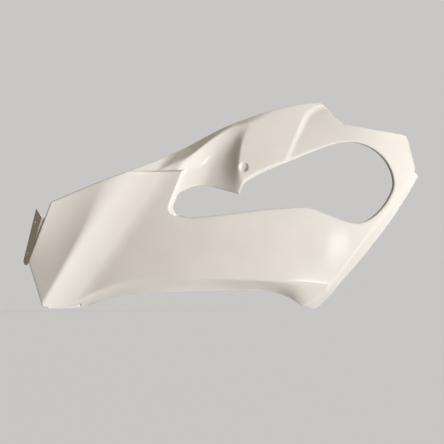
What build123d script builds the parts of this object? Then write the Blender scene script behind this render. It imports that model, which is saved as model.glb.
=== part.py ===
from build123d import *
import os
from math import asin, atan, cos, degrees, hypot, radians, sin, sqrt

# Side panel of a motorcycle fairing: one glass-fibre laminate with a bonded fixing tab. Millimetres.
# +X runs along the machine, +Z is up and the outer face looks towards -Y.
# The origin is the middle of the fastener seat's floor, and a height is a distance towards -Y.

# Laminate
wall = 2.5

# Fastener seat
seat_rim_radius = 9.8
seat_floor_radius = 5.8
seat_depth = 4

# Crown of the side: a radius each way about its highest point, and a tighter one at the wide end
crown_radius_along = 1095
crown_radius_up = 2570
crown_x = -178
crown_z = -122
tail_x = 217
tail_radius = 437

# Ridge at the narrow end, with a hollow cove on its right and a facet on its left.
# Each section: share of the ridge, cove width, cove slope at the ridge and at the valley,
# facet slope, facet hollow and half the width of the rounded crest
ridge_low = (-404.5, -278)
ridge_high = (-269, -43)
facet_width = 110
ridge_sections = [
    (-0.25, 54, 0.8, 0.16, 0.125, -0.001, 4),
    (0.1, 62, 0.73, 0.17, 0.125, -0.0003, 4.5),
    (0.5, 71, 0.65, 0.185, 0.23, 0.0026, 7),
    (1, 82, 0.55, 0.205, 0.045, 0.0012, 20),
    (1.5, 93, 0.45, 0.22, 0.045, 0.0008, 24),
]

# Lower edge: the points where it turns under, and how steeply, with a flat lip at the narrow end
turn_overlap = 30
turn_reach = 60
lip_left = (-375, -283)
lip_right = (-320, -263)
lip_slope = 1.7
lower_turn = [
    (-440, -290, lip_slope),
    (*lip_left, lip_slope),
    (*lip_right, lip_slope),
    (-300, -250.5, 1.2),
    (-262, -234.5, 0.79),
    (-110, -222.8, 0.84),
    (0, -226.3, 1.35),
    (62, -230.5, 1.4),
    (108, -232, 0.6),
    (200, -233, 0.4),
    (280, -250, 0.4),
]

# Step between the side and the arm above it, given along the edge of the side
step_left = (-300, -12.4)
step_corner = (-125, -9.4)
step_low = (-155, -88)
step_far = (60, -72)
step_wall_run = 0.4
step_top_run = 0.2
pocket_depth = 110
pocket_lap = 12

# Arm: a pad below the crown that leans back, a ramp down from the ridge, and a scoop between them.
# Each scoop section: height in the side view, floor, valley and crest
pad_drop = 7
pad_lean = -0.12
ramp_start = (-218, -13)
ramp_slope_along = -0.39
ramp_slope_up = -0.42
flank_slope_up = -0.1
scoop_sections = [(-90, 5, -100, -3), (-5, -10.5, -68, -13), (75, -11.3, -12, 4), (150, -12, 25, 38)]
scoop_rise = 0.006
scoop_left = 70
scoop_lap = 1

# Recess beside the pad, where the arm meets the ring round the opening
pad_edge_low = (84, 11)
pad_edge_high = (131, 123)
recess_point = (125, 59)
recess_drop = 15.8
recess_slope_along = -0.18
recess_slope_up = -0.26
recess_wall_run = 0.56

# Top edge of the arm: point, height, slope and the way it turns
top_turn = [
    (-220, -33, 27, 0.9, (-0.23, 0.97)),
    (-158, 1, 13.3, 0.9, (-0.23, 0.97)),
    (-105, 31, -3.5, 0.8, (-0.3, 0.95)),
    (-24, 73, -8, 0.9, (-0.47, 0.88)),
    (60, 99, -22, 0.64, (-0.3, 0.95)),
    (111, 116, -38, 0.5, (-0.2, 0.98)),
    (170, 138, -50, 0.2, (-0.2, 0.98)),
]

# Recessed joint flange along the diagonal edge
joggle = 2.5
joggle_lap = 4
joggle_line = [(192, -212), (172, -233), (166, -250), (118, -280)]

# Outline of the panel in the side view
top_left = (-385.6, -71)
top_edge = [(-288.6, -30.6), (-218.6, -4.6), (-137.6, 28.6), (-33.6, 81.6), (51.4, 111.6), (110, 125)]
peak = (156, 129.5)
peak_radius = 14
shoulder = (174.2, 104.4)
ring_start = (200, 85.8)
ring_corner = (326.5, 62.6)
ring_corner_radius = 9
ring_low = (344, -4)
notch = (343, -10)
flange_top = (350.6, -19.2)
flange_edge = [(322.6, -67), (232.8, -187)]
flange_low = (188.6, -237.6)
flange_kink = (177, -253)
tip = (142.5, -287.4)
tip_radius = 6
tip_low = (131.2, -284.4)
tip_step = (118.2, -280.8)
lower_right = [(81.4, -260.6), (29.4, -249.6), (-88.6, -250)]
lower_left = [(-215.6, -255.4), (-300.6, -276.2), (-340.8, -283.4)]
heel = (-391.6, -284.8)
heel_step = (-404, -279)
left_point = (-431, -190)

# Tear-drop opening in the side view
opening_heel = (-105.4, -102.4)
scoop_end = [(-122.6, -99), (-136.4, -93.2), (-142.2, -84.2), (-138.8, -70.4), (-129.6, -53.2)]
scoop_lip = [(-117, -46.2), (-94.8, -38.8), (-68.2, -39.8), (-43.8, -46)]
scoop_tip = (-9.6, -55.4)
pad_lip = [(-7, -44), (-0.8, -33.8), (13.4, -24.6), (84.2, 11.6), (134.2, 31), (180, 46.8)]
ring_top = (205, 49.6)
ring_curve = [(260, 33), (300.6, -38.4), (265.6, -95.6), (221, -113)]
ring_bottom = (197.2, -108.4)
side_corner = (124, -80)
side_corner_radius = 25
side_lip = (104, -81.6)
side_edge = [(37.2, -86.4), (-48.6, -97)]

# Hole in the lip of the lower edge
lower_hole = (-328.3, -277.6)
lower_hole_diameter = 5.4

# Fixing tab: a leg bonded behind the left edge and a leg bent back from it
tab_wall = 3
tab_length = 93
tab_gap = 8
tab_bond_width = 32
tab_sink = 0.8
tab_lean = 57
tab_width_low = 20
tab_width_high = 27
tab_low_reach = 5
tab_high_reach = 17
tab_hole_diameter = 5.4
tab_hole_low = (14, 13)
tab_hole_high = (16, 17)

# Blocks that the form is cut from, well past the panel on every side
margin = tab_bond_width
reach = 2 * (flange_top[0] - left_point[0])
front = reach / 10
back = reach / 6


def heading(start, end):
    """Direction from one point of the side view to another, one long."""
    length = hypot(end[0] - start[0], end[1] - start[1])
    return (end[0] - start[0]) / length, (end[1] - start[1]) / length


def ahead(point, way, distance):
    """Point further along a direction of the side view."""
    return point[0] + way[0] * distance, point[1] + way[1] * distance


def beside(point, way, distance):
    """Point set off to the left of a direction of the side view."""
    return point[0] - way[1] * distance, point[1] + way[0] * distance


def meet(first, first_way, second, second_way):
    """Point where two lines of the side view cross."""
    spread = first_way[0] * second_way[1] - first_way[1] * second_way[0]
    share = (second[0] - first[0]) * second_way[1] - (second[1] - first[1]) * second_way[0]
    return ahead(first, first_way, share / spread)


# The tail of the crown follows on from it, about a centre of its own
tail_sine = (tail_x - crown_x) / crown_radius_along
tail_cosine = sqrt(1 - tail_sine**2)
tail_centre_x = crown_x + (crown_radius_along - tail_radius) * tail_sine
tail_centre_fall = crown_radius_along - (crown_radius_along - tail_radius) * tail_cosine


def crown_fall(x, z):
    """How far the crown has fallen away at a point of the side view."""
    if x < tail_x:
        fall = crown_radius_along - sqrt(crown_radius_along**2 - (x - crown_x) ** 2)
    else:
        fall = tail_centre_fall - sqrt(tail_radius**2 - (x - tail_centre_x) ** 2)
    return crown_radius_up - sqrt((crown_radius_up - fall) ** 2 - (z - crown_z) ** 2)


# The pad stands one seat depth over the origin
crown_height = crown_fall(0, 0) + pad_drop + seat_depth


def crown_at(x, z):
    """Height of the crown at a point of the side view."""
    return crown_height - crown_fall(x, z)


def crown(inset):
    """Block under the crown, its face set in by the given amount."""
    axis = Axis((0, crown_radius_up - crown_height, crown_z), (1, 0, 0))
    swing = degrees(2 * asin((peak[1] - tip[1]) / crown_radius_up))
    lowest = Plane(axis.position, x_dir=(1, 0, 0), z_dir=(0, 0, 1)).rotated((-swing / 2, 0, 0))
    top = -crown_radius_up
    left_x = left_point[0] - margin
    right_x = flange_top[0] + margin
    main = crown_radius_along - inset
    left = (left_x, top + crown_radius_along - sqrt(main**2 - (left_x - crown_x) ** 2))
    joint = (crown_x + main * tail_sine, top + crown_radius_along - main * tail_cosine)
    tail = tail_radius - inset
    right = (right_x, top + tail_centre_fall - sqrt(tail**2 - (right_x - tail_centre_x) ** 2))
    deep = crown_height + back - crown_radius_up
    with BuildPart() as block:
        with BuildSketch(lowest):
            with BuildLine():
                ThreePointArc(left, (crown_x, top + inset), joint)
                TangentArc(joint, right, tangent=(tail_cosine, tail_sine))
                Polyline(right, (right_x, deep), (left_x, deep), left)
            make_face()
        revolve(axis=axis, revolution_arc=swing)
    return block.part


ridge_length = hypot(ridge_high[0] - ridge_low[0], ridge_high[1] - ridge_low[1])
ridge_way = heading(ridge_low, ridge_high)


def ridge_shape(along):
    """Cove, facet and crest sizes at a distance along the ridge, between its sections."""
    share = along / ridge_length
    for low, high in zip(ridge_sections, ridge_sections[1:]):
        if share <= high[0] or high is ridge_sections[-1]:
            part = (share - low[0]) / (high[0] - low[0])
            return [a + (b - a) * part for a, b in zip(low[1:], high[1:])]


def ridge_height(along):
    """Height of the ridge before its crest is rounded: its cove runs out on the crown."""
    width, steep, flat, *_ = ridge_shape(along)
    valley = beside(ahead(ridge_low, ridge_way, along), ridge_way, -width)
    return crown_at(*valley) + (steep + flat) / 2 * width


def side_at(x, z):
    """Height of the side at a point of the side view, on the crown, the cove or the facet."""
    along = (x - ridge_low[0]) * ridge_way[0] + (z - ridge_low[1]) * ridge_way[1]
    across = (x - ridge_low[0]) * ridge_way[1] - (z - ridge_low[1]) * ridge_way[0]
    width, steep, flat, lean, hollow, _ = ridge_shape(along)
    if across > width:
        return crown_at(x, z)
    if across < 0:
        return ridge_height(along) + lean * across + hollow * across**2
    cove = ridge_height(along) - steep * across + (steep - flat) * across**2 / (2 * width)
    return max(crown_at(x, z), cove)


def fold(inset):
    """Ridge with its cove and facet, lofted along the ridge line."""
    with BuildPart() as block:
        for share, width, steep, flat, lean, hollow, crest in ridge_sections:
            x, z = ahead(ridge_low, ridge_way, share * ridge_length)
            top = inset - ridge_height(share * ridge_length)
            bend = (steep - flat) / width
            right = (crest, top + steep * crest - bend * crest**2 / 2)
            right_slope = steep - bend * crest
            valley = (width, top + (steep + flat) / 2 * width)
            left = (-crest, top + lean * crest - hollow * crest**2)
            left_slope = lean - 2 * hollow * crest
            far = (-facet_width, top + lean * facet_width - hollow * facet_width**2)
            cove_turn = ((width + crest) / 2, right[1] + right_slope * (width - crest) / 2)
            facet_turn = (-(facet_width + crest) / 2, left[1] + left_slope * (facet_width - crest) / 2)
            crest_turn = meet(right, (-1, -right_slope), left, (1, -left_slope))
            across_way = (ridge_way[1], 0, -ridge_way[0])
            along_way = (ridge_way[0], 0, ridge_way[1])
            with BuildSketch(Plane((x, 0, z), x_dir=across_way, z_dir=along_way)):
                with BuildLine():
                    Bezier(valley, cove_turn, right)
                    Bezier(right, crest_turn, left)
                    Bezier(left, facet_turn, far)
                    Polyline(far, (far[0], back), (width, back), valley)
                make_face()
        loft()
    return block.part


def face_plane(x, z, height, slope_along, slope_up):
    """Plane of a flat face, looking outwards."""
    return Plane((x, -height, z), x_dir=(1, -slope_along, 0), z_dir=(-slope_along, -1, -slope_up))


def edge_turn(sections, inset):
    """Space outside an edge that turns away: a slope from each turning point, lofted along the edge."""
    with BuildPart() as block:
        for x, z, height, slope, way in sections:
            turn = inset * sqrt(1 + slope**2) - height
            inner = (-turn_overlap, turn - turn_overlap * slope)
            outer = (turn_reach, turn + turn_reach * slope)
            with BuildSketch(Plane((x, 0, z), x_dir=(way[0], 0, way[1]), z_dir=(-way[1], 0, way[0]))):
                with BuildLine():
                    Polyline(inner, outer, (outer[0], -front), (inner[0], -front), close=True)
                make_face()
        loft(ruled=True)
    return block.part


def pocket(inset):
    """Space over the arm, bounded by the drafted walls of the step."""
    top_way = heading(step_left, step_corner)
    wall_way = heading(step_low, step_corner)
    low_way = heading(step_low, step_far)
    top = pad_edge_high[1] + margin
    with BuildPart() as block:
        for height in (-pocket_depth, front):
            drop = crown_at(*step_corner) - height
            brow = beside(step_corner, top_way, step_top_run * drop - inset * sqrt(1 + step_top_run**2))
            cheek = beside(step_corner, wall_way, inset * sqrt(1 + step_wall_run**2) - step_wall_run * drop)
            with BuildSketch(Plane.XZ.offset(height)):
                with BuildLine():
                    Polyline(
                        meet(step_left, (0, 1), brow, top_way),
                        meet(brow, top_way, cheek, wall_way),
                        meet(cheek, wall_way, step_low, low_way),
                        step_far,
                        (pad_edge_low[0] + pocket_lap, pad_edge_low[1] - margin),
                        (pad_edge_high[0] + pocket_lap, top),
                        (step_left[0], top),
                        close=True,
                    )
                make_face()
        loft(ruled=True)
    return block.part


def pad_at(x, z):
    """Height of the pad at a point of the side view."""
    return crown_at(x, z) - pad_drop + pad_lean * z


def scoop(inset):
    """Space over the scoop: a hollow that curves up to the edge of the pad."""
    with BuildPart() as block:
        for z, floor, valley_x, crest_x in scoop_sections:
            valley = (valley_x, inset - floor)
            crest = (crest_x, inset - pad_at(crest_x, z) - scoop_lap)
            left = (valley_x - scoop_left, valley[1] - scoop_rise * scoop_left**2)
            with BuildSketch(Plane.XY.offset(z)):
                with BuildLine():
                    TangentArc(valley, crest, tangent=(1, 0))
                    Polyline(crest, (crest_x, -front), (left[0], -front), left)
                    Bezier(left, (valley_x - scoop_left / 2, valley[1]), valley)
                make_face()
        loft()
    return block.part


def arm(inset):
    """Block under the arm: the pad, its scoop and turned top edge, the ramp from the ridge and its flank."""
    pad = crown(inset + pad_drop).rotate(Axis.X, degrees(atan(pad_lean)))
    hollow = scoop(inset)
    top_space = edge_turn(top_turn, inset)
    ramp_height = side_at(*ramp_start)
    ramp_face = face_plane(*ramp_start, ramp_height, ramp_slope_along, ramp_slope_up)
    flank_face = face_plane(*ramp_start, ramp_height, ramp_slope_along, flank_slope_up)
    with BuildPart() as ramp:
        with BuildSketch(ramp_face.offset(-inset)):
            Rectangle(reach, reach)
        extrude(amount=-back)
        with BuildSketch(flank_face.offset(-inset)):
            Rectangle(reach, reach)
        extrude(amount=-back, mode=Mode.INTERSECT)
    with BuildPart() as block:
        add(pad)
        add(hollow, mode=Mode.SUBTRACT)
        add(top_space, mode=Mode.SUBTRACT)
        add(ramp.part)
    return block.part


def recess(inset):
    """Space over the flat beside the pad, with a sloped wall along the pad's edge."""
    way = heading(pad_edge_low, pad_edge_high)
    edge_length = hypot(pad_edge_high[0] - pad_edge_low[0], pad_edge_high[1] - pad_edge_low[1])
    edge_slope = (pad_at(*pad_edge_high) - pad_at(*pad_edge_low)) / edge_length
    wall_slope = -1 / recess_wall_run
    along = edge_slope * way[0] + wall_slope * way[1]
    up = edge_slope * way[1] - wall_slope * way[0]
    bank = face_plane(*pad_edge_low, pad_at(*pad_edge_low), along, up)
    floor_height = crown_at(*recess_point) - recess_drop
    floor = face_plane(*recess_point, floor_height, recess_slope_along, recess_slope_up)
    with BuildPart() as block:
        with BuildSketch(bank.offset(-inset)):
            Rectangle(reach, reach)
        extrude(amount=2 * front)
        with BuildSketch(floor.offset(-inset)):
            Rectangle(2 * reach, 2 * reach)
        extrude(amount=2 * front, mode=Mode.INTERSECT)
    return block.part


def seat(inset):
    """Space in the round fastener seat."""
    run = (seat_rim_radius - seat_floor_radius) / seat_depth
    with BuildPart() as block:
        for height in (-inset, 2 * seat_depth):
            with BuildSketch(Plane.XZ.offset(height)):
                Circle(seat_floor_radius + run * height + inset * sqrt(1 + run**2))
        loft()
    return block.part


def joint_strip(lap):
    """Strip of the side view along the diagonal edge, widened inwards by the lap."""
    way = heading(joggle_line[0], notch)
    line = [beside(point, way, lap) for point in (notch, *joggle_line)]
    low = tip[1] - margin
    right = flange_top[0] + margin
    with BuildPart() as block:
        with BuildSketch(Plane.XZ):
            with BuildLine():
                Polyline(*line, (line[-1][0], low), (right, low), (right, line[0][1]), close=True)
            make_face()
        extrude(amount=back, both=True)
    return block.part


def plug(inset):
    """The panel's form as one block, its outer face set in by the given amount."""
    base = crown(inset)
    ridge = fold(inset)
    lower_space = edge_turn([(x, z, side_at(x, z), slope, (0, -1)) for x, z, slope in lower_turn], inset)
    arm_space = pocket(inset) - arm(inset)
    recess_space = recess(inset)
    seat_space = seat(inset)
    with BuildPart() as body:
        add(base)
        add(ridge)
        for space in (lower_space, arm_space, recess_space, seat_space):
            add(space, mode=Mode.SUBTRACT)
    strip_space = joint_strip(joggle_lap if inset else 0) - body.part.moved(Location((0, joggle, 0)))
    with BuildPart() as stepped:
        add(body.part)
        add(strip_space, mode=Mode.SUBTRACT)
    return stepped.part


def round_corner(shape, corner, radius):
    """Round the corner of a sketch that lies nearest a point of the side view."""
    fillet(shape.vertices().sort_by_distance(corner)[0], radius)


# Outline and opening in the side view
with BuildSketch(Plane.XZ) as outline:
    with BuildLine():
        Spline(top_left, *top_edge, peak)
        Spline(peak, shoulder, ring_start)
        Polyline(ring_start, ring_corner, ring_low, notch, flange_top)
        Spline(flange_top, *flange_edge, flange_low)
        Polyline(flange_low, flange_kink, tip, tip_low, tip_step)
        Spline(tip_step, *lower_right, *lower_left, heel)
        Polyline(heel, heel_step, left_point, top_left)
    make_face()
    round_corner(outline, ring_corner, ring_corner_radius)
    round_corner(outline, tip, tip_radius)
    round_corner(outline, peak, peak_radius)

with BuildSketch(Plane.XZ) as opening:
    with BuildLine():
        Spline(opening_heel, *scoop_end, *scoop_lip, scoop_tip)
        Spline(scoop_tip, *pad_lip, ring_top)
        Spline(ring_top, *ring_curve, ring_bottom)
        Polyline(ring_bottom, side_corner, side_lip)
        Spline(side_lip, *side_edge, opening_heel)
    make_face()
    round_corner(opening, side_corner, side_corner_radius)

# Side panel: the outer form less the same form set in by the wall, cut to the outline
outer_form = plug(0)
inner_form = plug(wall)
lip_rise = side_at(*lip_right) - side_at(*lip_left) - lip_slope * (lip_right[1] - lip_left[1])
lip_slope_along = lip_rise / (lip_right[0] - lip_left[0])
hole_rise = lip_slope_along * (lower_hole[0] - lip_right[0]) + lip_slope * (lower_hole[1] - lip_right[1])
hole_plane = face_plane(*lower_hole, side_at(*lip_right) + hole_rise, lip_slope_along, lip_slope)

with BuildPart() as side_panel:
    extrude(outline.sketch, amount=front, both=True)
    add(outer_form, mode=Mode.INTERSECT)
    add(inner_form, mode=Mode.SUBTRACT)
    extrude(opening.sketch, amount=front, both=True, mode=Mode.SUBTRACT)
    with BuildSketch(hole_plane):
        Circle(lower_hole_diameter / 2)
    extrude(amount=2 * wall, both=True, mode=Mode.SUBTRACT)

# Fixing tab: the bonded leg lies on the inside of the facet, the other leg leans back along its bend
edge_way = heading(left_point, top_left)
bond_high = ahead(left_point, edge_way, tab_length)
tab_high = beside(bond_high, edge_way, tab_gap)
bond_face = fold(wall)
bond_back = fold(wall + tab_wall)
bend_start = Vector(left_point[0], wall + tab_sink - side_at(*left_point), left_point[1])
bend_end = Vector(tab_high[0], wall + tab_sink - side_at(*tab_high), tab_high[1])
bend_length = (bend_end - bend_start).length
bend_way = (bend_end - bend_start).normalized()
left_way = bend_way.cross(Vector(0, 1, 0)).normalized()
out_way = bend_way.cross(left_way)
leg_face = out_way * cos(radians(tab_lean)) + left_way * sin(radians(tab_lean))
leg_plane = Plane(bend_start, x_dir=bend_way, z_dir=leg_face)

with BuildPart() as fixing_tab:
    with BuildSketch(Plane.XZ):
        with BuildLine():
            Polyline(
                left_point,
                tab_high,
                beside(bond_high, edge_way, -tab_bond_width),
                beside(left_point, edge_way, -tab_bond_width),
                close=True,
            )
        make_face()
    extrude(amount=front, both=True)
    add(bond_face, mode=Mode.INTERSECT)
    add(bond_back, mode=Mode.SUBTRACT)
    with BuildSketch(leg_plane):
        with BuildLine():
            Polyline(
                (0, 0),
                (bend_length, 0),
                (bend_length + tab_high_reach, tab_width_high),
                (-tab_low_reach, tab_width_low),
                close=True,
            )
        make_face()
        with Locations(tab_hole_low, (bend_length - tab_hole_high[0], tab_hole_high[1])):
            Circle(tab_hole_diameter / 2, mode=Mode.SUBTRACT)
    extrude(amount=-tab_wall)

os.makedirs("parts", exist_ok=True)
side_panel.part.label = "side_panel"
export_step(side_panel.part, "parts/side_panel.step")
fixing_tab.part.label = "fixing_tab"
export_step(fixing_tab.part, "parts/fixing_tab.step")
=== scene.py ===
from math import pi, radians, sqrt

import bpy
import numpy as np
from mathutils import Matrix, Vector
from mathutils.geometry import delaunay_2d_cdt
from mathutils.kdtree import KDTree


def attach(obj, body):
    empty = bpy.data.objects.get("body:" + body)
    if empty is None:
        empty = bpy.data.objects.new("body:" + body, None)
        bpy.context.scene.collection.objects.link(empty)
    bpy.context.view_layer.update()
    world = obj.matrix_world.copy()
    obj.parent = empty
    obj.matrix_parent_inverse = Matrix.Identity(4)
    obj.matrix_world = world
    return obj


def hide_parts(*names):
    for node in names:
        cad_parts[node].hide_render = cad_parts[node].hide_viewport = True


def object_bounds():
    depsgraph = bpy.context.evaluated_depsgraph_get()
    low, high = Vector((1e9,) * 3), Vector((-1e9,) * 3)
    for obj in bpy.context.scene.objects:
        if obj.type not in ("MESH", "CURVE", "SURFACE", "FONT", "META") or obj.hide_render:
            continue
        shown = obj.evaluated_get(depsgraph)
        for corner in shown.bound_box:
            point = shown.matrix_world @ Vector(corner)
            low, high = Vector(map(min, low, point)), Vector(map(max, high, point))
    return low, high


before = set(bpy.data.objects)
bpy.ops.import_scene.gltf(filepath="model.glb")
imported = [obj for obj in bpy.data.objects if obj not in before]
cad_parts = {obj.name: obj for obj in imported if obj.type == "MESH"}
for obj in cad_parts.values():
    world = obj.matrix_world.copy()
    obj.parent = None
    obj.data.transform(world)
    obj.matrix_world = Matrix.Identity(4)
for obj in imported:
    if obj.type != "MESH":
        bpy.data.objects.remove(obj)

cad_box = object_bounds()

# Sizes are in millimetres, in the part's own frame: +X along the machine, +Z up, outer face towards -Y.
# A height is a distance towards -Y from the floor of the fastener seat.
mm = 0.001

# Photograph: its width in pixels, the size of a pixel, the point at its middle and how far off it is seen
photo_width = 444
photo_pixel = 2
photo_middle = (-44.6, -111)
view_distance = 20000

# Laminate and its cut edge, which rolls over along the opening and the shoulder
wall = 2.5
edge_round = 1.2
hole_edge_round = 0.2
edge_roll = 1.5
edge_roll_width = 4.5
shoulder_roll_width = 5
square_width = 10

# Wider roll along the pad's lip of the opening: where it comes in, along and upwards, and where it fades
pad_lip_width = 10.5
pad_lip_along = (-7, 7)
pad_lip_up = (-60, -40)
pad_lip_fade = (10, 210)

# Deeper edge round the wide end of the opening
return_depth = 6
return_width = 6
return_along = (190, 250)

# Crown of the side: a radius each way about its highest point, and a tighter one at the wide end
crown_radius_along = 1095
crown_radius_up = 2570
crown_x = -178
crown_z = -122
tail_x = 217
tail_radius = 437
pad_sink = 7
seat_depth = 4

# Ridge at the narrow end, with a hollow cove on its right and a facet on its left.
# Each section: share of the ridge, cove width, cove slope at the ridge and at the valley,
# facet slope, facet hollow and how softly the crest is rounded
ridge_low = (-404.5, -278)
ridge_high = (-269, -43)
ridge_sections = [
    (-0.25, 54, 0.8, 0.16, 0.125, -0.001, 3.7),
    (0.1, 62, 0.73, 0.17, 0.125, -0.0003, 3.8),
    (0.5, 71, 0.65, 0.185, 0.23, 0.0026, 6),
    (1, 82, 0.55, 0.205, 0.045, 0.0012, 12.5),
    (1.5, 93, 0.45, 0.22, 0.045, 0.0008, 16),
]
valley_soft = 3

# Lower edge: points of the side view where it turns under, and how steeply. Its lip holds the lower hole
lower_lip_slope = 1.7
lower_edge = [
    (-440, -290, lower_lip_slope),
    (-375, -283, lower_lip_slope),
    (-320, -263, lower_lip_slope),
    (-300, -253, 1.2),
    (-262, -238.5, 0.79),
    (-110, -225, 0.84),
    (0, -226.3, 1.35),
    (62, -230.5, 1.4),
    (108, -233.5, 0.6),
    (165, -240, 0.45),
    (200, -243, 0.4),
    (280, -253, 0.4),
]
lower_soft = 3

# Step between the side and the arm: its corner, the runs of its top and wall, and the line round its end
step_corner = (-125, -9.4)
step_top_run = (175, 3)
step_wall_run = (30, 78.6)
step_end = [
    (-152.5, -86),
    (-147, -94.5),
    (-137.5, -99.4),
    (-124, -101.6),
    (-108, -102.8),
    (-88, -100),
    (-60, -92),
]
step_top_draft = 0.2
step_wall_draft = 0.4
step_corner_soft = 6
step_end_soft = 10
step_edge_soft = 2
step_foot_soft = 5

# Arm: a pad that leans back, a ramp down from the ridge, and a scoop between them.
# Each scoop section: level up the side view, height of its floor, and the places of its valley and crest
pad_lean = -0.12
scoop_sections = [
    (-90, 12, -125, -3),
    (-45, 0.5, -84, -9),
    (-5, -10.5, -60, -13),
    (75, -11.3, -16, 0),
    (150, -12, 18, 32),
]
scoop_rise = 0.006
scoop_power = 2.5
scoop_least_depth = 1
scoop_reach = 100
scoop_soft = 6
ramp_start = (-218, -13)
ramp_slope = (-0.39, -0.42)
flank_slope = -0.1
ramp_end = 0
ramp_soft = 6.5

# Top edge of the arm: point of the side view, height and slope where it rolls over
top_edge = [
    (-220, -33, 27, 0.9),
    (-158, 1, 19, 0.9),
    (-105, 31, 2, 0.85),
    (-24, 77, -8, 0.9),
    (60, 103.5, -22, 0.64),
    (111, 118, -38, 0.5),
    (170, 138, -50, 0.2),
]
top_soft = 3.5

# Recess beside the pad, running out into the ring round the opening. The pad's edge gets softer upwards
pad_edge = [(81.6, 11), (96.6, 50), (112.6, 84), (123.6, 105), (139.6, 118), (168, 128)]
recess_point = (125, 59)
recess_drop = 15.8
recess_slope = (-0.18, -0.26)
recess_draft = 0.56
recess_reach = 20
recess_blend = (3, 22)
recess_foot_soft = 16
recess_edge_soft = (3, 8)
recess_edge_points = (1.2, 3)
recess_end_soft = 18

# Joint flange set back along the diagonal edge, inside a zone, with a bend that gets wider upwards
joggle = 1.6
joggle_zone = (100, 0)
joggle_width = (7, 14)
joggle_up = (-170, -60)
joggle_line = [(343, -10), (192, -212), (172, -233), (166, -250), (118, -280)]

# Fastener seat
seat_rim = 9.8
seat_floor = 5.8
seat_soft = 1.4

# Hole in the lip of the lower edge
lower_hole = (-328.5, -277.6)
lower_hole_radius = 2.7

# Fixing tab behind the left edge. Each of its ends is given along and across the bend
tab_start = (-431, -190)
tab_end = (-385.6, -71)
tab_wall = 3
tab_length = 93
tab_gap = 8
tab_bond_width = 32
tab_bond_depth = 1.06
tab_sink = 0.8
tab_lean = 57
tab_low_end = [(-5, 20), (-11, 12), (-9, 5)]
tab_high_end = (8, 27)
tab_bend_soft = 2.5
tab_edge_round = 0.5
tab_corner_radius = 2.5
tab_hole_low = (14, 13)
tab_hole_high = (16, 17)
tab_hole_radius = 2.7
tab_spacing = 1.6

# Outline of the panel in the side view: each run is a smooth curve through its points
shoulder_run = [(156, 129.5), (165.8, 117), (175.4, 105.2), (200, 85.8)]
outline_runs = [
    [(-385.6, -71), (-288.6, -30.6), (-218.6, -4.6), (-137.6, 28.6), (-33.6, 81.6), (51.4, 111.6),
     (110, 125), (156, 129.5)],
    shoulder_run,
    [(200, 85.8), (327.6, 62.6)],
    [(327.6, 62.6), (345, -4)],
    [(345, -4), (343, -10)],
    [(343, -10), (350.6, -19.2)],
    [(350.6, -19.2), (322.6, -67), (232.8, -187), (188.6, -237.6)],
    [(188.6, -237.6), (177, -253)],
    [(177, -253), (142.5, -287.4)],
    [(142.5, -287.4), (131.2, -284.4)],
    [(131.2, -284.4), (118.2, -280.8)],
    [(118.2, -280.8), (81.4, -259.4), (56, -251.6), (31, -248.8), (-60, -249.4), (-149, -252.4),
     (-200, -254.8), (-237.5, -257.6), (-262, -262.8), (-287, -269.8), (-305, -276.4), (-340.8, -283.4),
     (-391.6, -284.8)],
    [(-391.6, -284.8), (-394, -281)],
    [(-394, -281), (-404, -279)],
    [(-404, -279), (-431, -190)],
    [(-431, -190), (-385.6, -71)],
]
outline_corners = [((156, 129.5), 14), ((327.6, 62.6), 9), ((142.5, -287.4), 6)]

# Tear-drop opening in the side view
opening_runs = [
    [(-105.4, -102.4), (-122.6, -99), (-136.4, -93.2), (-142.2, -84.2), (-138.8, -70.4), (-129.6, -53.2),
     (-117, -46.2), (-94.8, -38.8), (-68.2, -39.8), (-43.8, -46), (-9.6, -55.4)],
    [(-9.6, -55.4), (-6.4, -44.3), (-0.2, -34.2), (13.6, -25), (54, -4.8), (101.4, 14.8), (137, 29.4),
     (172.8, 42.4), (190, 47.2), (210, 49.2), (228, 47.6), (247, 41.4), (266.5, 30), (286, 10),
     (300.4, -38.4), (287, -69.5), (265.6, -94.5), (246, -108), (224, -113.2), (197.2, -108.4)],
    [(197.2, -108.4), (124, -80)],
    [(124, -80), (104, -81.6)],
    [(104, -81.6), (37.2, -86.4), (-48.6, -97), (-105.4, -102.4)],
]
opening_corners = [((124, -80), 15)]

# Mesh: spacing on the open face, along creases, along the edges and on lines that distances are taken from
grid_open = 3.0
grid_crease = 1.4
edge_spacing = 1.6
cut_spacing = 0.4
hole_points = 20
crease_bend = 0.02
bend_probe = 2.0
slope_probe = 1.0
weld = 1e-5

# Shares: of the spacing that points keep off edges and creases, and of the radius that a corner takes up
keep_off = 0.8
corner_share = 1.5

# Rings of places that hold the inner face one wall off: radius as a share of the wall, and number of places
inner_rings = [(0.5, 8), (0.9, 12)]

# Floor: half its size, the gap below the panel and the share of plain colour that the camera sees
floor_reach = 30000
floor_gap = 0.5
floor_plain = 0.75


def soft_min(a, b, width):
    """Lower of two heights, with the corner between them rounded over a width."""
    return np.minimum(a, b) - np.maximum(width - np.abs(a - b), 0) ** 2 / (4 * width)


def soft_max(a, b, width):
    """Higher of two heights, with the corner between them rounded over a width."""
    return -soft_min(-a, -b, width)


def ease(share):
    """Smooth step from 0 to 1."""
    share = np.clip(share, 0, 1)
    return share * share * (3 - 2 * share)


def between(value, ends):
    """Smooth share of the way from one end of a range to the other."""
    return ease((value - ends[0]) / (ends[1] - ends[0]))


def through(places, values, at):
    """Smooth curve through values given at places."""
    places = np.array(places, float)
    values = np.array(values, float)
    lean = np.gradient(values, places)
    i = np.clip(np.searchsorted(places, at) - 1, 0, len(places) - 2)
    gap = places[i + 1] - places[i]
    t = np.clip((at - places[i]) / gap, 0, 1)
    start = values[i] * (1 + 2 * t) * (1 - t) ** 2 + lean[i] * gap * t * (1 - t) ** 2
    return start + values[i + 1] * t * t * (3 - 2 * t) + lean[i + 1] * gap * t * t * (t - 1)


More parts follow.
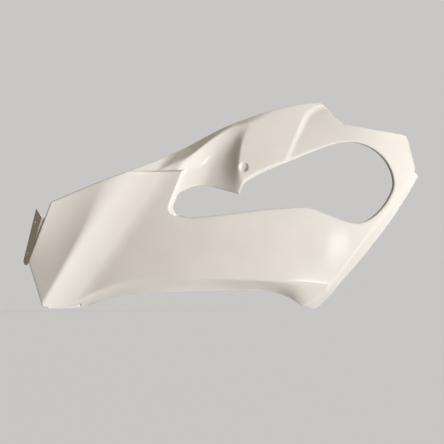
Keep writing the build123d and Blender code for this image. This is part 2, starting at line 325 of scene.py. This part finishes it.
def along(table, column, at):
    """Smooth curve through one column of a table, whose first column is the place."""
    return through([row[0] for row in table], [row[column] for row in table], at)


def beyond(points, x, z):
    """Distance to the left of a line of points, and how many points along the line it is."""
    nearest = np.full(np.shape(x), np.inf)
    left = np.zeros(np.shape(x))
    share = np.zeros(np.shape(x))
    last = len(points) - 2
    for i in range(last + 1):
        (ax, az), (bx, bz) = points[i], points[i + 1]
        length = sqrt((bx - ax) ** 2 + (bz - az) ** 2)
        wx, wz = (bx - ax) / length, (bz - az) / length
        t = (x - ax) * wx + (z - az) * wz
        held = np.clip(t, 0 if i else -np.inf, length if i < last else np.inf)
        gap = np.hypot(x - ax - held * wx, z - az - held * wz)
        side = np.where(wx * (z - az) - wz * (x - ax) < 0, -gap, gap)
        closer = gap < nearest
        nearest = np.where(closer, gap, nearest)
        left = np.where(closer, side, left)
        share = np.where(closer, i + np.clip(t / length, 0, 1), share)
    return left, share


def left_of(point, run, x, z):
    """Distance to the left of a straight line through a point."""
    return ((z - point[1]) * run[0] - (x - point[0]) * run[1]) / sqrt(run[0] ** 2 + run[1] ** 2)


def crown_fall(x, z):
    """How far the crown has fallen away at a point of the side view."""
    sine = (tail_x - crown_x) / crown_radius_along
    part = crown_radius_along - tail_radius
    main = np.sqrt(crown_radius_along**2 - (np.minimum(x, tail_x) - crown_x) ** 2)
    tail = np.sqrt(tail_radius**2 - (np.maximum(x, tail_x) - crown_x - part * sine) ** 2)
    fall = crown_radius_along - np.where(x < tail_x, main, part * sqrt(1 - sine**2) + tail)
    return crown_radius_up - np.sqrt((crown_radius_up - fall) ** 2 - (z - crown_z) ** 2)


def crown(x, z):
    """Height of the crown, which puts the pad one seat depth over the origin."""
    return crown_fall(0, 0) + pad_sink + seat_depth - crown_fall(x, z)


def side(x, z):
    """Crown with the ridge, cove and facet of the narrow end."""
    length = sqrt((ridge_high[0] - ridge_low[0]) ** 2 + (ridge_high[1] - ridge_low[1]) ** 2)
    wx, wz = (ridge_high[0] - ridge_low[0]) / length, (ridge_high[1] - ridge_low[1]) / length
    up = (x - ridge_low[0]) * wx + (z - ridge_low[1]) * wz
    across = (x - ridge_low[0]) * wz - (z - ridge_low[1]) * wx
    columns = [along(ridge_sections, i, up / length) for i in range(1, 7)]
    width, steep, flat, lean, hollow, crest_soft = columns
    valley = crown(ridge_low[0] + up * wx + width * wz, ridge_low[1] + up * wz - width * wx)
    ridge = valley + (steep + flat) / 2 * width
    near = np.minimum(across, width)
    cove = ridge - steep * near + (steep - flat) * near**2 / (2 * width) - flat * (across - near)
    facet = ridge + lean * across + hollow * near**2
    fold = np.where(across < 2 * width, soft_min(cove, facet, crest_soft), -np.inf)
    return soft_max(crown(x, z), fold, valley_soft)


def turned_side(x, z):
    """Side with its lower edge turned under."""
    line = along(lower_edge, 1, x)
    turn = side(x, line) - along(lower_edge, 2, x) * (line - z)
    return soft_min(side(x, z), turn, lower_soft)


def pad_drop(z):
    """How far the pad lies under the side's own face."""
    return pad_sink - pad_lean * z


def scooped(pad, x, z):
    """Pad with the scoop on its left."""
    floor, valley, crest = (along(scoop_sections, i, z) for i in (1, 2, 3))
    depth = np.maximum(crown(crest, z) - pad_drop(z) - floor, scoop_least_depth)
    off = x - valley
    right_side = depth * (np.maximum(off, 0) / (crest - valley)) ** scoop_power
    scoop = floor + np.where(off > 0, right_side, scoop_rise * off**2)
    return np.where(off < scoop_reach, soft_min(pad, scoop, scoop_soft), pad)


def recessed(top, pad, face, x, z):
    """Top of the arm with the recess on the right of the pad."""
    left, place = beyond(pad_edge, x, z)
    right = -left
    bank = pad - right / recess_draft
    flat = crown(*recess_point) - recess_drop
    flat = flat + recess_slope[0] * (x - recess_point[0]) + recess_slope[1] * (z - recess_point[1])
    recess = soft_min(face, soft_max(bank, flat, recess_foot_soft), recess_end_soft)
    sharp, soft = recess_edge_soft
    edge_soft = sharp + (soft - sharp) * between(place, recess_edge_points)
    top = np.where(right > -recess_reach, soft_min(top, recess, edge_soft), top)
    return top + (recess - top) * between(right, recess_blend)


def rolled_top(top, x, z):
    """Top of the arm with its upper edge rolled over."""
    over, share = beyond([row[:2] for row in top_edge], x, z)
    stations = range(len(top_edge))
    height = through(stations, [row[2] for row in top_edge], share)
    slope = through(stations, [row[3] for row in top_edge], share)
    return soft_min(top, height - slope * over, top_soft)


def arm(x, z, face):
    """Pad with its scoop, recess and rolled top edge, and the ramp that comes down from the ridge."""
    pad = face - pad_drop(z)
    top = rolled_top(recessed(scooped(pad, x, z), pad, face, x, z), x, z)
    up = z - ramp_start[1]
    slope_up = np.where(up > 0, ramp_slope[1], flank_slope)
    ramp = side(*ramp_start) + ramp_slope[0] * (x - ramp_start[0]) + slope_up * up
    return np.where(x < ramp_end, soft_max(top, ramp, ramp_soft), top)


def outer(x, z):
    """Height of the outer face at points of the side view."""
    face = turned_side(x, z)
    above = left_of(step_corner, step_top_run, x, z) / step_top_draft
    right = -left_of(step_corner, step_wall_run, x, z) / step_wall_draft
    over_end = beyond(step_end, x, z)[0] / step_wall_draft
    pocket = soft_min(right, over_end, step_end_soft)
    low = soft_max(arm(x, z, face), face - soft_max(above, pocket, step_corner_soft), step_foot_soft)
    form = np.where(x > pad_edge[0][0], np.minimum(face, low), soft_min(face, low, step_edge_soft))
    narrow, wide = joggle_width
    bend_width = narrow + (wide - narrow) * between(z, joggle_up)
    set_back = ease((beyond(joggle_line, x, z)[0] + narrow / 2) / bend_width)
    form = form - joggle * set_back * (x > joggle_zone[0]) * (z < joggle_zone[1])
    radius = np.hypot(x, z)
    wall_slope = seat_depth / (seat_rim - seat_floor)
    seat = soft_max((radius - seat_floor) * wall_slope, 0, seat_soft)
    return np.where(radius < 2 * seat_rim, soft_min(form, seat, seat_soft), form)


def curve(points, spacing):
    """Points at an even spacing on a smooth curve, without its last point."""
    points = np.array(points, float)
    steps = np.hypot(*np.diff(points, axis=0).T)
    run = np.concatenate([[0], np.cumsum(steps)])
    at = np.linspace(0, run[-1], max(int(run[-1] / spacing), 2), endpoint=False)
    return np.column_stack([through(run, points[:, 0], at), through(run, points[:, 1], at)])


def closed_loop(runs, corners, spacing):
    """Closed loop of the side view from its runs, with the named corners rounded."""
    loop = np.concatenate([curve(run, spacing) for run in runs])
    for corner, radius in corners:
        near = np.hypot(*(loop - corner).T) < corner_share * radius
        for _ in range(int((radius / spacing) ** 2)):
            even = (np.roll(loop, 1, axis=0) + 2 * loop + np.roll(loop, -1, axis=0)) / 4
            loop[near] = even[near]
    return loop


def outward(loop, hole):
    """Direction out of the material at each point of a loop."""
    way = np.roll(loop, -1, axis=0) - np.roll(loop, 1, axis=0)
    way /= np.hypot(*way.T)[:, None]
    x, z = loop.T
    area = np.sum(x * np.roll(z, -1) - z * np.roll(x, -1))
    turn = 1 if (area > 0) != hole else -1
    return turn * np.column_stack([way[:, 1], -way[:, 0]])


def inside(points, loop):
    """Which points lie inside a loop."""
    x, z = points.T
    found = np.zeros(len(points), bool)
    for (ax, az), (bx, bz) in zip(loop, np.roll(loop, -1, axis=0)):
        if az != bz:
            found ^= ((az > z) != (bz > z)) & (x < (bx - ax) * (z - az) / (bz - az) + ax)
    return found


def clearance(points, loop):
    """Distance from each point to a loop."""
    tree = KDTree(len(loop))
    for i, (x, z) in enumerate(loop):
        tree.insert((x, z, 0), i)
    tree.balance()
    return np.array([tree.find((x, z, 0))[2] for x, z in points])


def hex_grid(low, high, spacing):
    """Points of a triangle grid over a box of the side view."""
    rows = np.arange(low[1], high[1], spacing * sqrt(3) / 2)
    columns = np.arange(low[0], high[0], spacing)
    x, z = np.meshgrid(columns, rows)
    x = x + (np.arange(len(rows)) % 2)[:, None] * spacing / 2
    return np.column_stack([x.ravel(), z.ravel()])


def add_object(name, mesh, *materials):
    """Object made from a mesh, smooth shaded, with its materials."""
    thing = bpy.data.objects.new(name, mesh)
    bpy.context.scene.collection.objects.link(thing)
    for material in materials:
        mesh.materials.append(material)
    mesh.shade_smooth()
    return thing


def edged(loop, is_hole, set_in):
    """Loop set in by the rounding of a cut edge, with its directions out of the material."""
    out = outward(loop, is_hole)
    return loop - out * set_in, out, is_hole, set_in


def fill(points, loops):
    """Points and triangles of the region that loops enclose, and the point numbers along each loop."""
    for loop, _, is_hole, _ in loops:
        points = points[inside(points, loop) != is_hole]
        points = points[clearance(points, loop) > keep_off * edge_spacing]
    edges = []
    rings = []
    for loop, *_ in loops:
        ring = np.arange(len(points), len(points) + len(loop))
        rings.append(ring)
        edges += zip(ring.tolist(), np.roll(ring, -1).tolist())
        points = np.concatenate([points, loop])
    result = delaunay_2d_cdt([Vector(p) for p in points.tolist()], edges, [], 0, weld)
    points = np.array([tuple(v) for v in result[0]])
    came_from = {old: new for new, olds in enumerate(result[3]) for old in olds}
    triangles = np.array([f for f in result[2] if len(f) == 3])
    for loop, _, is_hole, _ in loops:
        triangles = triangles[inside(points[triangles].mean(axis=1), loop) != is_hole]
    a, b, c = points[triangles].transpose(1, 0, 2)
    upright = (b[:, 0] - a[:, 0]) * (c[:, 1] - a[:, 1]) > (b[:, 1] - a[:, 1]) * (c[:, 0] - a[:, 0])
    triangles = np.where(upright[:, None], triangles, triangles[:, ::-1])
    return points, triangles, [np.array([came_from[i] for i in ring]) for ring in rings]


def sheet(name, front, back, triangles, rims, *materials):
    """Sheet with a rounded edge along each rim; its back and most of the edge take the last material."""
    total = len(front)
    vertices = [front, back]
    faces = triangles.tolist() + (triangles[:, ::-1] + total).tolist()
    last = len(materials) - 1
    slots = [0] * len(triangles) + [last] * len(triangles)
    used = 2 * total
    for ring, bulge, turn in rims:
        middle = (front[ring] + back[ring]) / 2
        half = (front[ring] - back[ring]) / 2
        rows = [ring]
        for angle in radians(45), radians(90), radians(135):
            vertices.append(middle + np.cos(angle) * half + np.sin(angle) * bulge)
            rows.append(np.arange(used, used + len(ring)))
            used += len(ring)
        rows.append(ring + total)
        for first, second in zip(rows, rows[1:]):
            quads = np.column_stack([first, np.roll(first, -1), np.roll(second, -1), second])
            faces += quads[:, ::turn].tolist()
            slots += [0 if first is ring else last] * len(ring)
    mesh = bpy.data.meshes.new(name)
    mesh.from_pydata((np.concatenate(vertices) * mm).tolist(), [], faces)
    thing = add_object(name, mesh, *materials)
    mesh.polygons.foreach_set("material_index", slots)
    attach(thing, "root")
    return thing


def turn_of(loop, out):
    """Order of a loop: 1 if the material lies on its right, or -1."""
    way = loop[1] - loop[0]
    return 1 if way[0] * out[0, 1] > way[1] * out[0, 0] else -1


def rims_of(loops, rings, bulges):
    """Point numbers, bulge and order of each rim of a sheet."""
    return [(ring, bulge, turn_of(loop, out)) for (loop, out, *_), ring, bulge in zip(loops, rings, bulges)]


# Materials
def linear(code):
    """Linear colour from an sRGB hex value."""
    parts = [int(code[i:i + 2], 16) / 255 for i in (1, 3, 5)]
    return [c / 12.92 if c <= 0.04045 else ((c + 0.055) / 1.055) ** 2.4 for c in parts] + [1]


def put(tree, kind, sockets=None, **settings):
    """Add a node with its settings, and set or link its sockets."""
    made = tree.nodes.new(kind)
    for name, value in settings.items():
        setattr(made, name, value)
    for name, value in (sockets or {}).items():
        if isinstance(value, bpy.types.NodeSocket):
            tree.links.new(value, made.inputs[name])
        else:
            made.inputs[name].default_value = value
    return made


def new_material(name):
    """Empty node material, with its tree, its shader and the object's own coordinates."""
    material = bpy.data.materials.new(name)
    material.use_nodes = True
    tree = material.node_tree
    tree.nodes.clear()
    shader = put(tree, "ShaderNodeBsdfPrincipled")
    put(tree, "ShaderNodeOutputMaterial", {"Surface": shader.outputs[0]})
    place = put(tree, "ShaderNodeTexCoord").outputs["Object"]
    return material, tree, shader, place


def per_metre(size):
    """Texture scale whose pattern repeats at a size in millimetres."""
    return 1 / (size * mm)


# Polyester gelcoat off a waxed mould: off-white, satin gloss, a little wavy over the glass below it
gelcoat, tree, shader, place = new_material("polyester_gelcoat")
cloud = put(tree, "ShaderNodeTexNoise", {"Vector": place, "Scale": per_metre(70), "Detail": 4.0})
tone = put(tree, "ShaderNodeValToRGB", {"Fac": cloud.outputs["Fac"]})
tone.color_ramp.elements[0].position = 0.3
tone.color_ramp.elements[0].color = linear("#EBE8E2")
tone.color_ramp.elements[1].position = 0.7
tone.color_ramp.elements[1].color = linear("#F0EDE8")
polish = put(tree, "ShaderNodeTexNoise", {"Vector": place, "Scale": per_metre(24), "Detail": 6.0})
dull = put(tree, "ShaderNodeMapRange", {"Value": polish.outputs["Fac"], "To Min": 0.08, "To Max": 0.15})
wave = put(tree, "ShaderNodeTexNoise", {"Vector": place, "Scale": per_metre(30), "Detail": 2.0})
swell = put(tree, "ShaderNodeBump", {"Height": wave.outputs["Fac"], "Strength": 0.25,
                                     "Distance": 0.15 * mm})
peel = put(tree, "ShaderNodeTexNoise", {"Vector": place, "Scale": per_metre(3), "Detail": 2.0})
skin = put(tree, "ShaderNodeBump", {"Height": peel.outputs["Fac"], "Normal": swell.outputs[0],
                                    "Strength": 0.1, "Distance": 0.02 * mm})
tree.links.new(tone.outputs[0], shader.inputs["Base Color"])
tree.links.new(dull.outputs[0], shader.inputs["Roughness"])
tree.links.new(skin.outputs[0], shader.inputs["Normal"])
shader.inputs["IOR"].default_value = 1.5

# Chopped-strand glass mat in polyester, as it is left on the inside: dull, yellowish, with crossing strands.
# The strands are drawn about twice as wide as real ones, so that they show
strand_length = 26
strand_slimness = 14
strand_turns = range(12, 180, 28)
strand_mat, tree, shader, place = new_material("chopped_strand_laminate")
strands = None
for turn in strand_turns:
    lie = put(tree, "ShaderNodeMapping", {"Vector": place, "Rotation": (0, radians(turn), 0),
                                          "Scale": (1, 1, 1 / strand_slimness)}, vector_type="TEXTURE")
    lay = put(tree, "ShaderNodeTexNoise", {"Vector": lie.outputs[0], "Scale": per_metre(strand_length),
                                           "Detail": 3.0})
    if strands is None:
        strands = lay.outputs["Fac"]
    else:
        most = put(tree, "ShaderNodeMath", {0: strands, 1: lay.outputs["Fac"]}, operation="MAXIMUM")
        strands = most.outputs[0]
tone = put(tree, "ShaderNodeValToRGB", {"Fac": strands})
tone.color_ramp.elements[0].position = 0.45
tone.color_ramp.elements[0].color = linear("#CDC7B8")
tone.color_ramp.elements[1].position = 0.8
tone.color_ramp.elements[1].color = linear("#EBE6DB")
relief = put(tree, "ShaderNodeBump", {"Height": strands, "Strength": 0.6, "Distance": 0.6 * mm})
tree.links.new(tone.outputs[0], shader.inputs["Base Color"])
tree.links.new(relief.outputs[0], shader.inputs["Normal"])
shader.inputs["Roughness"].default_value = 0.55
shader.inputs["IOR"].default_value = 1.55

# Moulded panel: outer face, inner face one wall behind it, and a rounded cut edge between them
outline = closed_loop(outline_runs, outline_corners, edge_spacing)
opening = closed_loop(opening_runs, opening_corners, edge_spacing)
turns = np.linspace(0, 2 * pi, hole_points, endpoint=False)
circle = np.column_stack([np.cos(turns), np.sin(turns)])
hole = np.array(lower_hole) + lower_hole_radius * circle / (1, sqrt(1 + lower_lip_slope**2))
loops = [
    edged(outline, False, edge_round),
    edged(opening, True, edge_round),
    edged(hole, True, hole_edge_round),
]

low = outline.min(axis=0)
high = outline.max(axis=0)
fine = hex_grid(low, high, grid_crease)
bend = -4 * outer(*fine.T)
for step_x, step_z in ((bend_probe, 0), (-bend_probe, 0), (0, bend_probe), (0, -bend_probe)):
    bend = bend + outer(fine[:, 0] + step_x, fine[:, 1] + step_z)
creased = np.abs(bend) / bend_probe**2 > crease_bend
coarse = hex_grid(low, high, grid_open)
crease_points = fine[creased]
open_points = coarse[clearance(coarse, crease_points) > keep_off * grid_open]
points, triangles, rings = fill(np.concatenate([crease_points, open_points]), loops)

# The edge of the opening rolls over, most of all along the pad's lip, and so does the shoulder
x, z = points.T
cut = clearance(points, closed_loop(opening_runs, opening_corners, cut_spacing))
pad_lip = between(x, pad_lip_along) * between(z, pad_lip_up) * (1 - between(x, pad_lip_fade))
roll_width = edge_roll_width + (pad_lip_width - edge_roll_width) * pad_lip
rolled = edge_roll / edge_roll_width * roll_width * np.maximum(1 - cut / roll_width, 0) ** 2
shoulder = clearance(points, curve(shoulder_run, cut_spacing))
rolled = rolled + edge_roll * np.maximum(1 - shoulder / shoulder_roll_width, 0) ** 2
outer_height = outer(x, z) - rolled

# The inner face lies at least one wall from the outer face in every direction
inner_height = outer_height - wall
for share, number in inner_rings:
    radius = share * wall
    for turn in np.arange(number) * 2 * pi / number:
        near = outer(x + radius * np.cos(turn), z + radius * np.sin(turn)) - rolled
        inner_height = np.minimum(inner_height, near - sqrt(wall**2 - radius**2))

# The cut edge stands square to the laminate, so the inner face is set over along its normal near the edges
lean_x = (outer(x + slope_probe, z) - outer(x - slope_probe, z)) / (2 * slope_probe)
lean_z = (outer(x, z + slope_probe) - outer(x, z - slope_probe)) / (2 * slope_probe)
stretch = np.sqrt(1 + lean_x**2 + lean_z**2)
edge_share = ease(1 - clearance(points, np.concatenate([loop for loop, *_ in loops])) / square_width)
deeper = return_depth * ease(1 - cut / return_width) * between(x, return_along)
square = (wall + deeper) * edge_share / stretch
inner_depth = deeper * stretch - inner_height - square * (lean_x**2 + lean_z**2)
outer_face = np.column_stack([x, -outer_height, z])
inner_face = np.column_stack([x + square * lean_x, inner_depth, z + square * lean_z])
bulges = [set_in * np.column_stack([out[:, 0], 0 * out[:, 0], out[:, 1]]) for _, out, _, set_in in loops]
rims = rims_of(loops, rings, bulges)
panel = sheet("moulded_panel", outer_face, inner_face, triangles, rims, gelcoat, strand_mat)
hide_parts("side_panel")

# Fixing tab: one leg bonded behind the facet and one that leans back, drawn flat along and across its bend
edge_way = np.subtract(tab_end, tab_start) / np.hypot(*np.subtract(tab_end, tab_start))
edge_left = np.array([-edge_way[1], edge_way[0]])
bend_top = tab_start + tab_length * edge_way + tab_gap * edge_left
bend_ends = [np.array([px, wall + tab_sink - side(px, pz), pz]) for px, pz in (tab_start, bend_top)]
bend_length = np.linalg.norm(bend_ends[1] - bend_ends[0])
bend_way = (bend_ends[1] - bend_ends[0]) / bend_length
left_way = np.array([-bend_way[2], 0, bend_way[0]]) / np.hypot(bend_way[0], bend_way[2])
out_way = np.cross(bend_way, left_way)
leg_face = out_way * np.cos(radians(tab_lean)) + left_way * np.sin(radians(tab_lean))
leg_way = np.cross(leg_face, bend_way)
tilt = np.arctan2(tab_gap, tab_length)
bond_u = -tab_bond_width * np.sin(tilt)
bond_v = -tab_bond_width * np.cos(tilt)
tab_corners = [
    (bond_u, bond_v),
    (bend_length + bond_u, bond_v - tab_gap),
    (bend_length, 0),
    (bend_length + tab_high_end[0], tab_high_end[1]),
    *tab_low_end,
    (0, 0),
]


def tab_front(u, v):
    """Front of the tab at a place along and across its bend."""
    leg = soft_max(v, 0, tab_bend_soft)
    bond = soft_max(-v, 0, tab_bend_soft)
    across = -bond[:, None] * left_way
    front = bend_ends[0] + u[:, None] * bend_way + leg[:, None] * leg_way + across
    behind = tab_bond_depth * wall - side(front[:, 0], front[:, 2])
    share = ease(bond / tab_bend_soft)
    front[:, 1] += share * (behind - front[:, 1])
    return front


tab_sides = [[a, b] for a, b in zip(tab_corners, tab_corners[1:] + tab_corners[:1])]
flat = closed_loop(tab_sides, [(corner, tab_corner_radius) for corner in tab_corners], tab_spacing)
loops = [edged(flat, False, tab_edge_round)]
for hole in (tab_hole_low, (bend_length - tab_hole_high[0], tab_hole_high[1])):
    loops.append(edged(hole + tab_hole_radius * circle, True, hole_edge_round))
points, triangles, rings = fill(hex_grid(flat.min(axis=0), flat.max(axis=0), tab_spacing), loops)
u, v = points.T
front = tab_front(u, v)
along_u = tab_front(u + slope_probe, v) - tab_front(u - slope_probe, v)
along_v = tab_front(u, v + slope_probe) - tab_front(u, v - slope_probe)
along_u /= np.linalg.norm(along_u, axis=1)[:, None]
along_v /= np.linalg.norm(along_v, axis=1)[:, None]
normal = np.cross(along_u, along_v)
normal /= np.linalg.norm(normal, axis=1)[:, None]
bulges = []
for (_, out, _, set_in), ring in zip(loops, rings):
    bulges.append(set_in * (out[:, :1] * along_u[ring] + out[:, 1:] * along_v[ring]))
rims = rims_of(loops, rings, bulges)
tab = sheet("bonded_tab", front, front - tab_wall * normal, triangles, rims, strand_mat)
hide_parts("fixing_tab")

# Pale floor under the panel's lowest edge
floor_paint, tree, shader, place = new_material("pale_floor_paint")
speck = put(tree, "ShaderNodeTexNoise", {"Vector": place, "Scale": per_metre(40), "Detail": 5.0})
tone = put(tree, "ShaderNodeValToRGB", {"Fac": speck.outputs["Fac"]})
tone.color_ramp.elements[0].color = linear("#CFCDCB")
tone.color_ramp.elements[1].color = linear("#D3D1CF")
tree.links.new(tone.outputs[0], shader.inputs["Base Color"])
shader.inputs["Roughness"].default_value = 0.9
path = put(tree, "ShaderNodeLightPath")
plain = put(tree, "ShaderNodeEmission", {"Color": linear("#CFCECD"), "Strength": 1.0})
plainness = put(tree, "ShaderNodeMath", {0: path.outputs["Is Camera Ray"], 1: floor_plain},
                operation="MULTIPLY")
pale = put(tree, "ShaderNodeMixShader", {"Fac": plainness.outputs[0], 1: shader.outputs[0],
                                         2: plain.outputs[0]})
put(tree, "ShaderNodeOutputMaterial", {"Surface": pale.outputs[0]}).is_active_output = True
mesh = bpy.data.meshes.new("floor")
half = floor_reach * mm
ground = cad_box[0].z - floor_gap * mm
corner_ways = ((-1, -1), (1, -1), (1, 1), (-1, 1))
mesh.from_pydata([(way_x * half, way_y * half, ground) for way_x, way_y in corner_ways], [], [(0, 1, 2, 3)])
floor = add_object("floor", mesh, floor_paint)
floor.visible_shadow = False
floor.visible_glossy = False
floor.visible_diffuse = False

# Even surroundings: pale where they are seen or mirrored, dim and warm where they give light
world = bpy.data.worlds.new("pale_room")
bpy.context.scene.world = world
world.use_nodes = True
tree = world.node_tree
tree.nodes.clear()
path = put(tree, "ShaderNodeLightPath")
glow = put(tree, "ShaderNodeBackground", {"Color": linear("#EAD9C6"), "Strength": 0.18})
seen = put(tree, "ShaderNodeBackground", {"Color": linear("#C9C7C5"), "Strength": 1.0})
either = put(tree, "ShaderNodeMath", {0: path.outputs["Is Camera Ray"], 1: path.outputs["Is Glossy Ray"]},
             operation="MAXIMUM")
both = put(tree, "ShaderNodeMixShader", {"Fac": either.outputs[0], 1: glow.outputs[0], 2: seen.outputs[0]})
put(tree, "ShaderNodeOutputWorld", {"Surface": both.outputs[0]})


def lamp(name, kind, place, target, **settings):
    """Lamp at a place, turned to a target, in metres."""
    light = bpy.data.lights.new(name, kind)
    for setting, value in settings.items():
        setattr(light, setting, value)
    thing = bpy.data.objects.new(name, light)
    thing.location = place
    thing.rotation_euler = (Vector(target) - Vector(place)).to_track_quat("-Z", "Y").to_euler()
    bpy.context.scene.collection.objects.link(thing)
    return thing


def softbox(name, place, target, radiance, wide, high):
    """Soft rectangle that only mirrors in the gloss, given by its radiance."""
    power = radiance * pi * wide * high
    box = lamp(name, "AREA", place, target, energy=power, shape="RECTANGLE", size=wide, size_y=high)
    box.visible_diffuse = False


# Soft light from the right, a little warm light from above and a fill from behind
middle = (0, 0, 0)
key = lamp("soft_key", "SUN", (2.6, -1.5, -0.5), middle, energy=3.3, angle=radians(35))
key.data.color = (1.0, 0.995, 0.98)
key.visible_glossy = False
top = lamp("warm_top", "SUN", (-0.3, -0.6, 2.5), middle, energy=0.35, angle=radians(90))
top.data.color = (1.0, 0.84, 0.68)
top.visible_glossy = False
back = lamp("back_fill", "SUN", (1.6, 1.5, 1.3), middle, energy=2.2, angle=radians(40))
back.data.color = (1.0, 0.98, 0.95)

# A window and its sill that mirror in the side, and a low box that mirrors in the lower edge
wide_end = (0.19, 0, -0.155)
low_edge = (0.16, 0, -0.235)
softbox("small_window", (2.13, -2.29, -0.235), wide_end, radiance=6.5, wide=0.26, high=0.14)
softbox("window_sill", (2.06, -2.35, -0.355), wide_end, radiance=3.5, wide=0.2, high=0.07)
softbox("low_box", (1.856, -2.554, -0.688), low_edge, radiance=6.5, wide=0.56, high=0.38)

# Camera at the photograph's angle
view = bpy.data.cameras.new("photo_view")
camera = bpy.data.objects.new("photo_view", view)
view.lens = view.sensor_width * view_distance / (photo_width * photo_pixel)
camera.location = (photo_middle[0] * mm, -view_distance * mm, photo_middle[1] * mm)
camera.rotation_euler = (pi / 2, 0, 0)
view.clip_end = 100
bpy.context.scene.collection.objects.link(camera)
bpy.context.scene.camera = camera
bpy.context.scene.view_settings.view_transform = "Standard"

bpy.context.view_layer.update()
